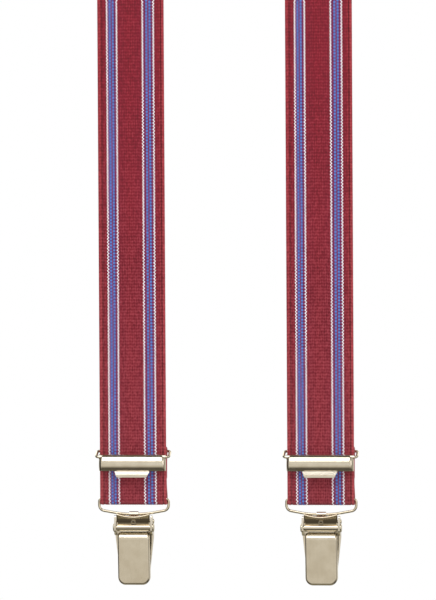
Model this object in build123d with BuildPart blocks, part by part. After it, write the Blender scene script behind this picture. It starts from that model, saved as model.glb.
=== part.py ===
"""Clip-on X-back suspenders, draped over a horizontal rail.

Frame: millimetres, +Z up, the front faces -Y. The origin is on the axis of the rail that the straps
hang over, midway between the straps. "Left" and "right" are as seen from the front, so left is -X.
Each clip and each adjuster is modelled once in its own frame and placed at every site that has one.
"""
import os
from math import asin, cos, pi, radians, sin, tan

from build123d import *

# ---------------------------------------------------------------- driving dimensions: webbing
STRAP_WIDTH = 35.0
STRAP_THICKNESS = 1.5
FRONT_SPACING = 98.7  # between the centre lines of the two front straps
BACK_SPACING = 100.0  # between the centre lines of the two back ends
RAIL_RADIUS = 25.0
FRONT_DROP = 730.0  # rail axis down to the bottom of the front clips
BACK_DROP = 370.0  # rail axis down to the bottom of the back clips
CROSS_ANGLE = 18.0  # each strap's slant from the vertical where they cross
BEND_RADIUS = 400.0  # in the plane of the webbing, where it straightens to hang
PATCH_DROP = 42.0  # rail axis down to the centre of the crossing
LIFT = 1.6  # how far one strap rides over the other
LIFT_RAMP = 25.0
LAYER_GAP = 0.1
FOLD_STEPS = 8  # sections round half a turn of the webbing
BEND_STEPS = 6
RAMP_STEPS = 4
CLOSEST_SECTIONS = 0.8

# ---------------------------------------------------------------- driving dimensions: cross patch
PATCH_HEIGHT = 66.0
PATCH_END_WIDTH = 44.0
PATCH_MID_WIDTH = 56.0
PATCH_CORNER = 7.0
LEATHER = 1.2

# ---------------------------------------------------------------- driving dimensions: wire and fold
WIRE = 0.7  # wire radius
FOLD_RADIUS = 2.35  # middle of the webbing round a wire loop
FOLD_BOTTOM = 42.0  # clip bottom up to the underside of the fold
PLY_STEP = STRAP_THICKNESS + 0.2  # middle of one ply to the middle of the next
FOLD_TAPER = 9.0  # height over which the two plies draw together above a fold
SEWN_TAB = 32.0

LOOP_HALF_WIDTH = 18.3
LOOP_LOWER_CORNER = 39.4
LOOP_LOWER_MID = 37.2
LOOP_SADDLE = 6.0
WIRE_BEND = 1.4  # middle of the wire round a tight corner

# ---------------------------------------------------------------- driving dimensions: clip
SHEET = 0.7
EAR_SHEET = 1.0
PIN_GAP = 0.05
JAW_WIDTH = 16.8
JAW_HEIGHT = 27.3
JAW_DEPTH = 3.9
JAW_TOP_FRONT = -4.2  # front face of the jaw at its top and bottom
JAW_BOTTOM_FRONT = -1.85
JAW_CORNER = 4.0
JAW_BROW = 3.4  # round along the top of the jaw's face
JAW_EDGE = 1.2
JAW_TEETH = 8
JAW_PIN = (1.5, 33.4)  # depth and height of the jaw's pivot
JAW_PIN_RADIUS = 0.6
JAW_NECK_WIDTH = 13.0
LEVER_PIN = (-1.4, 30.2)
LEVER_PIN_RADIUS = 0.9
LEVER_WIDTH = 17.5
LEVER_SHEET = 0.65
KNUCKLE_RADIUS = 1.9
CAM_REACH = 2.5
LEVER_RIM = 0.8
CAM_RADIUS = 1.2
PLATE_FRONT = 3.0  # inner face of the back plate
PLATE_THICKNESS = 0.8
PLATE_HALF_WIDTH = 10.05
PLATE_TIP_HALF_WIDTH = 7.25
PLATE_SHOULDER = 25.0  # height where the plate stops widening
PLATE_BOTTOM = 0.8
PLATE_TOP = 34.0
TONGUE_WIDTH = 4.7
RIVET_RADIUS = 2.2
RIVET_HEAD = 0.7

# ---------------------------------------------------------------- driving dimensions: adjuster
ADJUSTER_HEIGHT = 67.34  # clip bottom up to the cover's hinge
HINGE_STANDOFF = 1.9  # strap's front face to the hinge axis
FRAME_HALF_WIDTH = 19.2
FRAME_RISE = 2.8
REAR_FOLD = WIRE + 0.3 + STRAP_THICKNESS / 2
COVER_WIDTH = 35.2
COVER_SHEET = 0.6
COVER_BULGE = 6.6  # radius of the cover's face, seen from the side
COVER_TOP_SLOPE = 48.0  # its slope where it leaves the roll and at its foot, in degrees
COVER_FOOT_SLOPE = 30.0
COVER_END_ROUND = 2.3
LIP_INSET = 1.3  # how far the lip under the cover's face stops short of its ends
COVER_DROP = 7.24
TAB_DROP = 10.64
TAB_BEAD = 0.8
TAB_TOP_WIDTH = 17.3
TAB_END_WIDTH = 13.7
COVER_TEETH = 15
SEWN_END = 14.0  # from the rear bar down to where the webbing's end is cut
SEWN_TAPER = 6.0
SEWN_END_GAP = 0.2

# ---------------------------------------------------------------- derived places
MID_RADIUS = RAIL_RADIUS + STRAP_THICKNESS / 2
QUARTER = MID_RADIUS * pi / 2
SLANT = radians(CROSS_ANGLE)
CROSSING = -(QUARTER + PATCH_DROP)
HALF_OVERLAP = STRAP_WIDTH / 2 / sin(SLANT)
BAR_RISE = FOLD_BOTTOM + FOLD_RADIUS + STRAP_THICKNESS / 2
BAR_DEPTH = MID_RADIUS - FOLD_RADIUS
FRONT_BAR_Z = -FRONT_DROP + BAR_RISE
BACK_BAR_Z = -BACK_DROP + BAR_RISE
HINGE_DEPTH = MID_RADIUS + STRAP_THICKNESS / 2 + HINGE_STANDOFF
REAR_BAR_DEPTH = MID_RADIUS - PLY_STEP - REAR_FOLD

CLIP_SITES = {
    "front_left": Location((-FRONT_SPACING / 2, -BAR_DEPTH, -FRONT_DROP)),
    "front_right": Location((FRONT_SPACING / 2, -BAR_DEPTH, -FRONT_DROP)),
    "back_left": Location((-BACK_SPACING / 2, BAR_DEPTH, -BACK_DROP), (0, 0, 180)),
    "back_right": Location((BACK_SPACING / 2, BAR_DEPTH, -BACK_DROP), (0, 0, 180)),
}
ADJUSTER_SITES = {
    "left": Location((-FRONT_SPACING / 2, -HINGE_DEPTH, -FRONT_DROP + ADJUSTER_HEIGHT)),
    "right": Location((FRONT_SPACING / 2, -HINGE_DEPTH, -FRONT_DROP + ADJUSTER_HEIGHT)),
}


# ---------------------------------------------------------------- the webbing's course
def bend_start(spacing):
    """Distance along the strap from the crossing to where it starts to straighten."""
    return (spacing / 2 - BEND_RADIUS * (1 - cos(SLANT))) / tan(SLANT)


def side_offset(travel, spacing):
    """Sideways distance from the crossing and slant, this far along the strap from it."""
    start = bend_start(spacing)
    if travel <= start:
        return travel * tan(SLANT), SLANT
    turn = sin(SLANT) - (travel - start) / BEND_RADIUS
    slant = asin(max(turn, 0.0))
    return spacing / 2 - BEND_RADIUS * (1 - cos(slant)), slant


def lateral(along):
    """Sideways place and slant of the right-hand strap, along it from the rail's crest."""
    if along >= CROSSING:
        return side_offset(along - CROSSING, FRONT_SPACING)
    offset, slant = side_offset(CROSSING - along, BACK_SPACING)
    return -offset, slant


def lift_at(along):
    """How far the upper strap stands off the course of the lower one."""
    beyond = (abs(along - CROSSING) - HALF_OVERLAP) / LIFT_RAMP
    beyond = min(max(beyond, 0.0), 1.0)
    return LIFT * (1 - beyond * beyond * (3 - 2 * beyond))


def course_station(along, side, over):
    """Plane across the strap and its level width there."""
    offset, slant = lateral(along)
    radius = MID_RADIUS + (lift_at(along) if over else 0.0)
    if along > QUARTER:
        place, heading = (-radius, QUARTER - along), (0, 0, -1)
    elif along < -QUARTER:
        place, heading = (radius, QUARTER + along), (0, 0, 1)
    else:
        turn = along / MID_RADIUS
        place = (-radius * sin(turn), radius * cos(turn))
        heading = (0, -cos(turn), -sin(turn))
    plane = Plane(origin=(side * offset, *place), x_dir=(1, 0, 0), z_dir=heading)
    return plane, STRAP_WIDTH / cos(slant)


def fold_stations(centre_x, bar_z, face):
    """Planes round a fold under a wire, from the outer ply to the inner one."""
    stations = []
    for step in range(1, FOLD_STEPS + 1):
        turn = pi * step / FOLD_STEPS
        depth = MID_RADIUS - FOLD_RADIUS * (1 - cos(turn))
        origin = (centre_x, face * depth, bar_z - FOLD_RADIUS * sin(turn))
        heading = (0, -face * sin(turn), -cos(turn))
        stations.append((Plane(origin=origin, x_dir=(1, 0, 0), z_dir=heading), STRAP_WIDTH))
    return stations


def level_station(centre_x, depth, height, heading=1):
    """A level section of the webbing."""
    plane = Plane(origin=(centre_x, depth, height), x_dir=(1, 0, 0), z_dir=(0, 0, heading))
    return plane, STRAP_WIDTH


def strap_stations(side, over):
    """Every section of one strap from its sewn back tab to the end of its front fold."""
    inner = MID_RADIUS - PLY_STEP
    back_x = -side * BACK_SPACING / 2
    back_end = -(QUARTER - BACK_BAR_Z)
    front_end = QUARTER - FRONT_BAR_Z
    stations = [
        level_station(back_x, inner, BACK_BAR_Z + SEWN_TAB, -1),
        level_station(back_x, inner, BACK_BAR_Z + FOLD_TAPER, -1),
    ]
    for plane, width in reversed(fold_stations(back_x, BACK_BAR_Z, 1)):
        stations.append((Plane(origin=plane.origin, x_dir=(1, 0, 0), z_dir=-plane.z_dir), width))
    start_front = CROSSING + bend_start(FRONT_SPACING)
    start_back = CROSSING - bend_start(BACK_SPACING)
    bend = BEND_RADIUS * sin(SLANT)
    stops = {back_end, front_end, start_back, start_back - bend, CROSSING}
    stops |= {start_back - bend * step / BEND_STEPS for step in range(1, BEND_STEPS)}
    stops |= {start_front + bend * step / BEND_STEPS for step in range(0, BEND_STEPS + 1)}
    stops |= {QUARTER * step / FOLD_STEPS for step in range(-FOLD_STEPS, FOLD_STEPS + 1)}
    for end in (-1, 1):
        for step in range(0, RAMP_STEPS + 1):
            stops.add(CROSSING + end * (HALF_OVERLAP + LIFT_RAMP * step / RAMP_STEPS))
    ordered = sorted(stops)
    kept = [along for along, after in zip(ordered, ordered[1:]) if after - along > CLOSEST_SECTIONS]
    stations += [course_station(along, side, over) for along in kept + [front_end]]
    stations += fold_stations(side * FRONT_SPACING / 2, FRONT_BAR_Z, -1)
    return stations


def save(part, name):
    """Label one finished piece and write it as its own node."""
    part.label = name
    export_step(part, f"parts/{name}.step")


def save_at(piece, sites, name):
    """Write a copy of a piece at every site, as a node of its own."""
    for site, place in sites.items():
        with BuildPart() as placed:
            with Locations(place):
                add(piece)
        save(placed.part, f"{site}_{name}")


os.makedirs("parts", exist_ok=True)

# ================================================================ straps
for side_name, side, over in (("left", -1, False), ("right", 1, True)):
    with BuildPart() as strap:
        for plane, width in strap_stations(side, over):
            with BuildSketch(plane):
                Rectangle(width, STRAP_THICKNESS)
        loft(ruled=True)
    save(strap.part, f"strap_{side_name}")

    # The free end runs back up behind the strap from the fold to just under the sewn end.
    centre = side * FRONT_SPACING / 2
    inner_depth = -(MID_RADIUS - PLY_STEP)
    fold_depth = -(MID_RADIUS - 2 * FOLD_RADIUS)
    rear_bar_z = -FRONT_DROP + ADJUSTER_HEIGHT + FRAME_RISE
    with BuildPart() as return_run:
        for plane, width in (
            level_station(centre, fold_depth, FRONT_BAR_Z),
            level_station(centre, inner_depth, FRONT_BAR_Z + FOLD_TAPER),
            level_station(centre, inner_depth, rear_bar_z - SEWN_END - SEWN_END_GAP),
        ):
            with BuildSketch(plane):
                Rectangle(width, STRAP_THICKNESS)
        loft(ruled=True)
    save(return_run.part, f"{side_name}_return_run")

    # The end itself goes over the adjuster's rear bar and is sewn down behind.
    with BuildPart() as sewn_end:
        stations = [level_station(centre, inner_depth, rear_bar_z - SEWN_END)]
        for step in range(0, FOLD_STEPS + 1):
            turn = pi * step / FOLD_STEPS
            origin = (
                centre,
                -REAR_BAR_DEPTH - REAR_FOLD * cos(turn),
                rear_bar_z + REAR_FOLD * sin(turn),
            )
            heading = (0, sin(turn), cos(turn))
            plane = Plane(origin=origin, x_dir=(1, 0, 0), z_dir=heading)
            stations.append((plane, STRAP_WIDTH))
        tab_depth = inner_depth + STRAP_THICKNESS + LAYER_GAP
        stations.append(level_station(centre, tab_depth, rear_bar_z - SEWN_TAPER, -1))
        stations.append(level_station(centre, tab_depth, rear_bar_z - SEWN_END, -1))
        for plane, width in stations:
            with BuildSketch(plane):
                Rectangle(width, STRAP_THICKNESS)
        loft(ruled=True)
    save(sewn_end.part, f"{side_name}_sewn_end")

# ================================================================ cross patch
PATCH_FACES = {
    "patch_inner": RAIL_RADIUS - LAYER_GAP - LEATHER,
    "patch_outer": RAIL_RADIUS + STRAP_THICKNESS + LIFT + LAYER_GAP,
}
for patch_name, face_depth in PATCH_FACES.items():
    half = PATCH_HEIGHT / 2
    outline = [
        (-PATCH_END_WIDTH / 2, half),
        (PATCH_END_WIDTH / 2, half),
        (PATCH_MID_WIDTH / 2, 0),
        (PATCH_END_WIDTH / 2, -half),
        (-PATCH_END_WIDTH / 2, -half),
        (-PATCH_MID_WIDTH / 2, 0),
    ]
    patch_plane = Plane(origin=(0, face_depth + LEATHER, -PATCH_DROP), x_dir=(1, 0, 0), z_dir=(0, -1, 0))
    with BuildPart() as patch:
        with BuildSketch(patch_plane):
            with BuildLine():
                FilletPolyline(*outline, radius=PATCH_CORNER, close=True)
            make_face()
        extrude(amount=LEATHER)
    save(patch.part, patch_name)

# ================================================================ clip: wire loop
with BuildPart() as wire_loop:
    with BuildLine(Plane.XZ) as loop_path:
        FilletPolyline(
            (-LOOP_HALF_WIDTH, BAR_RISE),
            (LOOP_HALF_WIDTH, BAR_RISE),
            (LOOP_HALF_WIDTH, LOOP_LOWER_CORNER),
            (LOOP_SADDLE, LOOP_LOWER_MID),
            (-LOOP_SADDLE, LOOP_LOWER_MID),
            (-LOOP_HALF_WIDTH, LOOP_LOWER_CORNER),
            radius=[WIRE_BEND, WIRE_BEND, 3.0, 50.0, 50.0, 3.0],
            close=True,
        )
    with BuildSketch(Plane(origin=loop_path.line @ 0, z_dir=loop_path.line % 0)):
        Circle(WIRE)
    sweep()
save_at(wire_loop.part, CLIP_SITES, "clip_loop")

# ================================================================ clip: back plate
EAR_OUTLINE = [
    (PLATE_FRONT + PLATE_THICKNESS, 25.5),
    (PLATE_FRONT + PLATE_THICKNESS, PLATE_TOP),
    (1.0, 34.6),
    (-0.9, 36.3),
    (-3.1, 36.7),
    (-4.2, 31.5),
    (-3.9, 28.2),
    (-2.0, 26.4),
]
TONGUE_SHEET = 0.66
TONGUE_BORE = WIRE + 0.1
TONGUE_OUTER = TONGUE_BORE + TONGUE_SHEET
TONGUE_DEPTH = TONGUE_OUTER - TONGUE_SHEET / 2
TRAY_FRONT = 1.9
OVERCUT = 1.0  # how far a cut runs past the metal it goes through
with BuildPart() as back_plate:
    with BuildSketch(Plane.XZ.offset(-PLATE_FRONT - PLATE_THICKNESS)):
        with BuildLine():
            FilletPolyline(
                (-PLATE_TIP_HALF_WIDTH, PLATE_BOTTOM),
                (PLATE_TIP_HALF_WIDTH, PLATE_BOTTOM),
                (PLATE_HALF_WIDTH, PLATE_SHOULDER),
                (PLATE_HALF_WIDTH, PLATE_TOP),
                (-PLATE_HALF_WIDTH, PLATE_TOP),
                (-PLATE_HALF_WIDTH, PLATE_SHOULDER),
                radius=[3.0, 3.0, 20.0, 0.6, 0.6, 20.0],
                close=True,
            )
        make_face()
    extrude(amount=PLATE_FRONT + PLATE_THICKNESS - TRAY_FRONT)
    # Hollow it to a shallow tray with a rim at each side, open at both ends.
    with BuildSketch(Plane.XZ.offset(-PLATE_FRONT)):
        with BuildLine():
            Polyline(
                (-PLATE_TIP_HALF_WIDTH + SHEET, PLATE_BOTTOM - OVERCUT),
                (PLATE_TIP_HALF_WIDTH - SHEET, PLATE_BOTTOM - OVERCUT),
                (PLATE_HALF_WIDTH - SHEET, PLATE_SHOULDER),
                (PLATE_HALF_WIDTH - SHEET, PLATE_TOP + OVERCUT),
                (-PLATE_HALF_WIDTH + SHEET, PLATE_TOP + OVERCUT),
                (-PLATE_HALF_WIDTH + SHEET, PLATE_SHOULDER),
                close=True,
            )
        make_face()
    extrude(amount=PLATE_FRONT, mode=Mode.SUBTRACT)
    for side in (-1, 1):
        with BuildSketch(Plane.YZ.offset(side * (PLATE_HALF_WIDTH - EAR_SHEET / 2))):
            with BuildLine():
                FilletPolyline(*EAR_OUTLINE, radius=[0.3, 0.5, 1.0, 0.8, 1.0, 2.0, 1.6, 1.5], close=True)
            make_face()
        extrude(amount=EAR_SHEET / 2, both=True)
    # The tongue runs up from the plate and is rolled round the loop's lower bar.
    with BuildSketch(Plane.YZ.offset(-TONGUE_WIDTH / 2)):
        with BuildLine():
            FilletPolyline(
                (PLATE_FRONT + PLATE_THICKNESS / 2, PLATE_TOP - 1.5),
                (PLATE_FRONT + PLATE_THICKNESS / 2, 34.9),
                (TONGUE_DEPTH, 36.3),
                (TONGUE_DEPTH, LOOP_LOWER_MID + 0.2),
                radius=0.5,
            )
        trace(line_width=TONGUE_SHEET)
        with Locations((0, LOOP_LOWER_MID)):
            Circle(TONGUE_OUTER)
            Circle(TONGUE_BORE, mode=Mode.SUBTRACT)
    extrude(amount=TONGUE_WIDTH)
    with BuildSketch(Plane.YZ.offset(-PLATE_HALF_WIDTH - OVERCUT)):
        with Locations(LEVER_PIN):
            Circle(LEVER_PIN_RADIUS + PIN_GAP)
        with Locations(JAW_PIN):
            Circle(JAW_PIN_RADIUS + PIN_GAP)
    extrude(amount=2 * (PLATE_HALF_WIDTH + OVERCUT), mode=Mode.SUBTRACT)
save_at(back_plate.part, CLIP_SITES, "clip_back_plate")

# ================================================================ clip: grip pad in the back plate
PAD_WIDTH = 12.0
PAD_BOTTOM = 1.4
PAD_HEIGHT = 12.0
PAD_FACE = 2.35
PAD_RIBS = 7
PAD_RIB_PITCH = 1.5
PAD_GROOVE = 0.5
with BuildPart() as grip_pad:
    with BuildSketch(Plane.XZ.offset(-PLATE_FRONT)):
        with Locations((0, PAD_BOTTOM + PAD_HEIGHT / 2)):
            RectangleRounded(PAD_WIDTH, PAD_HEIGHT, 1.2)
    extrude(amount=PLATE_FRONT - PAD_FACE)
    with BuildSketch(Plane.XZ.offset(-PAD_FACE)):
        with Locations((0, PAD_BOTTOM + PAD_HEIGHT / 2)):
            with GridLocations(0, PAD_RIB_PITCH, 1, PAD_RIBS):
                Rectangle(PAD_WIDTH - 1.6, PAD_GROOVE)
    extrude(amount=-0.3, mode=Mode.SUBTRACT)
save_at(grip_pad.part, CLIP_SITES, "clip_grip_pad")

# ================================================================ clip: front jaw
JAW_LEAN = asin((JAW_BOTTOM_FRONT - JAW_TOP_FRONT) / JAW_HEIGHT)
JAW_PLANE = Plane(
    origin=(0, JAW_TOP_FRONT, JAW_HEIGHT),
    x_dir=(1, 0, 0),
    z_dir=(0, -cos(JAW_LEAN), -sin(JAW_LEAN)),
)
JAW_LENGTH = JAW_HEIGHT / cos(JAW_LEAN)
NECK_HEIGHT = JAW_HEIGHT - 0.45
NECK_DEPTH = JAW_PIN[0] + 0.15
EYE_WALL = 0.6
TOOTH_PITCH = 1.5
TOOTH_GAP = 0.7


def jaw_block(inset):
    """The pillow-shaped block of the jaw, shrunk by inset on every side but the back."""
    with BuildPart() as block:
        with BuildSketch(JAW_PLANE.offset(-inset)) as outline:
            with Locations((0, -JAW_LENGTH / 2)):
                Rectangle(JAW_WIDTH - 2 * inset, JAW_LENGTH - 2 * inset)
            fillet(outline.vertices().sort_by(Axis.Y)[:2], JAW_CORNER - inset)
        extrude(amount=-JAW_DEPTH - (OVERCUT if inset else 0.0))
        face_axis = Axis(JAW_PLANE.origin, JAW_PLANE.z_dir)
        front = block.faces().sort_by(face_axis)[-1]
        fillet(front.edges().sort_by(Axis.Z)[-1], JAW_BROW - inset)
        front = block.faces().filter_by(GeomType.PLANE).sort_by(face_axis)[-1]
        brow = block.faces().filter_by(GeomType.CYLINDER).sort_by(Axis.Z)[-1]
        rim = front.edges().sort_by(Axis.Z)[:-1] + brow.edges().filter_by(GeomType.CIRCLE)
        fillet(rim, JAW_EDGE - inset)
    return block.part


with BuildPart() as front_jaw:
    add(jaw_block(0))
    add(jaw_block(SHEET), mode=Mode.SUBTRACT)
    # A neck runs back from the top, turns up behind the lever's cam and ends in the pivot eye.
    with BuildSketch(Plane.YZ.offset(-JAW_NECK_WIDTH / 2)):
        with BuildLine():
            FilletPolyline(
                (-1.4, NECK_HEIGHT),
                (NECK_DEPTH, NECK_HEIGHT),
                (NECK_DEPTH, JAW_PIN[1]),
                radius=1.0,
            )
        trace(line_width=SHEET)
        with Locations(JAW_PIN):
            Circle(JAW_PIN_RADIUS + PIN_GAP + EYE_WALL)
            Circle(JAW_PIN_RADIUS + PIN_GAP, mode=Mode.SUBTRACT)
    extrude(amount=JAW_NECK_WIDTH)
    with BuildSketch(Plane.YZ.offset(-JAW_NECK_WIDTH)):
        with Locations(JAW_PIN):
            Circle(JAW_PIN_RADIUS + PIN_GAP)
    extrude(amount=2 * JAW_NECK_WIDTH, mode=Mode.SUBTRACT)
    # Notches leave a row of teeth along the lip.
    with BuildSketch(JAW_PLANE.offset(-JAW_DEPTH)):
        with Locations((0, -JAW_LENGTH + SHEET / 2)):
            with GridLocations(TOOTH_PITCH, 0, JAW_TEETH - 1, 1):
                Rectangle(TOOTH_GAP, 2 * SHEET)
    extrude(amount=TOOTH_GAP, mode=Mode.SUBTRACT)
save_at(front_jaw.part, CLIP_SITES, "clip_front_jaw")

# ================================================================ clip: lever
RIM_DEPTH = -3.9
RIM_END_HEIGHT = 37.1
RIM_MID_HEIGHT = 35.6
DISH = [(-2.0, 31.9), (-2.65, 34.26), (-3.85, 36.4)]
FLANGE = [(-3.0, 30.2), (-3.1, 33.0), (-4.5, 36.9), (-3.4, 37.3), (-1.9, 33.4), (-1.2, 31.0)]
FLANGE_SHEET = 0.6
RING_OUTER = 1.3
RING_INNER = 0.7
RING_HEIGHT = 0.95
RING_PLANE = Plane(origin=(0, -2.15, 33.2), x_dir=(1, 0, 0), z_dir=(0, -0.978, -0.208))
with BuildPart() as lever:
    with BuildSketch(Plane.YZ.offset(-LEVER_WIDTH / 2)):
        with BuildLine():
            ThreePointArc(*DISH)
        trace(line_width=LEVER_SHEET)
        with Locations(LEVER_PIN):
            Circle(KNUCKLE_RADIUS)
    extrude(amount=LEVER_WIDTH)
    # The cam stands out behind the knuckle, between the ears of the jaw's neck.
    with BuildSketch(Plane.YZ.offset(-JAW_NECK_WIDTH / 2)):
        with Locations((LEVER_PIN[0] + CAM_REACH - CAM_RADIUS, LEVER_PIN[1])):
            Circle(CAM_RADIUS)
    extrude(amount=JAW_NECK_WIDTH)
    for side in (-1, 1):
        with BuildSketch(Plane.YZ.offset(side * (LEVER_WIDTH - FLANGE_SHEET) / 2)):
            with BuildLine():
                FilletPolyline(*FLANGE, radius=0.25, close=True)
            make_face()
        extrude(amount=FLANGE_SHEET / 2, both=True)
    with BuildLine(Plane.XZ.offset(-RIM_DEPTH)) as rim_path:
        ThreePointArc(
            (-LEVER_WIDTH / 2 + 0.1, RIM_END_HEIGHT),
            (0, RIM_MID_HEIGHT),
            (LEVER_WIDTH / 2 - 0.1, RIM_END_HEIGHT),
        )
    with BuildSketch(Plane(origin=rim_path.line @ 0, z_dir=rim_path.line % 0)):
        Circle(LEVER_RIM)
    sweep()
    # A raised ring in the middle of the dish.
    with BuildSketch(RING_PLANE):
        Circle(RING_OUTER)
        Circle(RING_INNER, mode=Mode.SUBTRACT)
    extrude(amount=RING_HEIGHT)
    with BuildSketch(Plane.YZ.offset(-LEVER_WIDTH)):
        with Locations(LEVER_PIN):
            Circle(LEVER_PIN_RADIUS + PIN_GAP)
    extrude(amount=2 * LEVER_WIDTH, mode=Mode.SUBTRACT)
save_at(lever.part, CLIP_SITES, "clip_lever")


# ================================================================ clip: pins and spring
JAW_PIN_HEAD = (1.1, 0.35)  # radius and height of its heads
def pin_with_heads(place, radius, head_radius, head_height):
    """A pin across the ears with a domed head outside each of them."""
    reach = PLATE_HALF_WIDTH + PIN_GAP
    with BuildPart() as pin:
        with BuildSketch(Plane.YZ.offset(-reach)):
            with Locations(place):
                Circle(radius)
        extrude(amount=2 * reach)
        for side in (-1, 1):
            head_plane = Plane(origin=(side * reach, *place), x_dir=(0, 1, 0), z_dir=(side, 0, 0))
            with BuildSketch(head_plane):
                Circle(head_radius)
            extrude(amount=head_height)
            outer = pin.faces().sort_by(Axis.X)[-1 if side > 0 else 0]
            fillet(outer.edges(), head_height * 0.8)
    return pin.part


save_at(pin_with_heads(LEVER_PIN, LEVER_PIN_RADIUS, RIVET_RADIUS, RIVET_HEAD), CLIP_SITES, "clip_lever_pin")
save_at(pin_with_heads(JAW_PIN, JAW_PIN_RADIUS, *JAW_PIN_HEAD), CLIP_SITES, "clip_jaw_pin")

SPRING_WIDTH = 5.0
SPRING_SHEET = 0.35
with BuildPart() as leaf_spring:
    with BuildSketch(Plane.YZ.offset(-SPRING_WIDTH / 2)):
        with BuildLine():
            FilletPolyline(
                (PLATE_FRONT - 0.2, 15.0),
                (PLATE_FRONT - 0.2, 24.6),
                (0.6, 25.3),
                (-2.35, 19.5),
                (-1.9, 17.8),
                radius=[1.0, 1.0, 0.6],
            )
        trace(line_width=SPRING_SHEET)
    extrude(amount=SPRING_WIDTH)
save_at(leaf_spring.part, CLIP_SITES, "clip_spring")

# ================================================================ adjuster: wire frame
REAR_OFFSET = HINGE_DEPTH - REAR_BAR_DEPTH
FRAME_PLANE = Plane(origin=(0, 0, 0), x_dir=(1, 0, 0), z_dir=(0, -FRAME_RISE, REAR_OFFSET))
FRAME_DEPTH = (REAR_OFFSET**2 + FRAME_RISE**2) ** 0.5
with BuildPart() as frame:
    with BuildLine(FRAME_PLANE) as frame_path:
        FilletPolyline(
            (-FRAME_HALF_WIDTH, 0),
            (FRAME_HALF_WIDTH, 0),
            (FRAME_HALF_WIDTH, FRAME_DEPTH),
            (-FRAME_HALF_WIDTH, FRAME_DEPTH),
            radius=WIRE_BEND,
            close=True,
        )
    with BuildSketch(Plane(origin=frame_path.line @ 0, z_dir=frame_path.line % 0)):
        Circle(WIRE)
    sweep()
save_at(frame.part, ADJUSTER_SITES, "adjuster_frame")

# ================================================================ adjuster: hinged toothed cover
ROLL_BORE = WIRE + 0.06
COVER_BACK = 0.1  # depth that the cover's face reaches back to
BITE_DEPTH = 1.25  # middle of the strip that the teeth stand on
BITE_SHEET = 0.5
BITE_HEIGHT = 0.6
BITE_TOOTH = 1.1
ROLL_OUTER = ROLL_BORE + COVER_SHEET
TOP_SLOPE = radians(COVER_TOP_SLOPE)
FOOT_SLOPE = radians(COVER_FOOT_SLOPE)
BULGE_DEPTH = (COVER_BULGE - ROLL_OUTER) * cos(TOP_SLOPE)
BULGE_HEIGHT = -(COVER_BULGE - ROLL_OUTER) * sin(TOP_SLOPE)


def cover_block(inset):
    """The pillow-shaped face of the cover, shrunk by inset all round; the inner one runs out behind."""
    radius = COVER_BULGE - inset
    back = COVER_BACK + (OVERCUT if inset else 0.0)

    def on_face(slope):
        return (BULGE_DEPTH - radius * cos(slope), BULGE_HEIGHT + radius * sin(slope))

    head, brow, foot = on_face(TOP_SLOPE), on_face(0), on_face(-FOOT_SLOPE)
    with BuildPart() as block:
        with BuildSketch(Plane.YZ.offset(-COVER_WIDTH / 2 + inset)):
            with BuildLine():
                ThreePointArc(head, brow, foot)
                Polyline(foot, (back, foot[1]), (back, head[1]), head)
            make_face()
        extrude(amount=COVER_WIDTH - 2 * inset)
        face = block.faces().filter_by(GeomType.CYLINDER).sort_by(Axis.Y)[0]
        fillet(face.edges().filter_by(GeomType.CIRCLE), COVER_END_ROUND - inset)
    return block.part


# Below its face the sheet kicks forward to a lip, and its middle runs on as the lift tab with a rolled end.
FOOT_DEPTH = BULGE_DEPTH - (COVER_BULGE - COVER_SHEET / 2) * cos(FOOT_SLOPE)
FOOT_HEIGHT = BULGE_HEIGHT - (COVER_BULGE - COVER_SHEET / 2) * sin(FOOT_SLOPE)
BEAD_PLACE = (FOOT_DEPTH - 1.55, -TAB_DROP + TAB_BEAD)
LIP_WIDTH = COVER_WIDTH - 2 * LIP_INSET
with BuildPart() as tab:
    with BuildSketch(Plane.YZ.offset(-COVER_WIDTH / 2)):
        with BuildLine():
            FilletPolyline(
                (FOOT_DEPTH - 0.1, FOOT_HEIGHT + 0.25),
                (FOOT_DEPTH + 0.15, FOOT_HEIGHT - 0.45),
                BEAD_PLACE,
                radius=0.5,
            )
        trace(line_width=COVER_SHEET)
        with Locations(BEAD_PLACE):
            Circle(TAB_BEAD)
    extrude(amount=COVER_WIDTH)
    with BuildSketch(Plane.XZ.offset(-4)):
        with BuildLine():
            FilletPolyline(
                (-LIP_WIDTH / 2, ROLL_OUTER + 1),
                (LIP_WIDTH / 2, ROLL_OUTER + 1),
                (LIP_WIDTH / 2, -COVER_DROP),
                (TAB_TOP_WIDTH / 2 + 0.6, -COVER_DROP),
                (TAB_END_WIDTH / 2 + 0.8, -TAB_DROP - 0.4),
                (-TAB_END_WIDTH / 2 - 0.8, -TAB_DROP - 0.4),
                (-TAB_TOP_WIDTH / 2 - 0.6, -COVER_DROP),
                (-LIP_WIDTH / 2, -COVER_DROP),
                radius=[0.2, 0.2, 0.5, 0.7, 2.1, 2.1, 0.7, 0.5],
                close=True,
            )
        make_face()
    extrude(amount=8, mode=Mode.INTERSECT)

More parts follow.
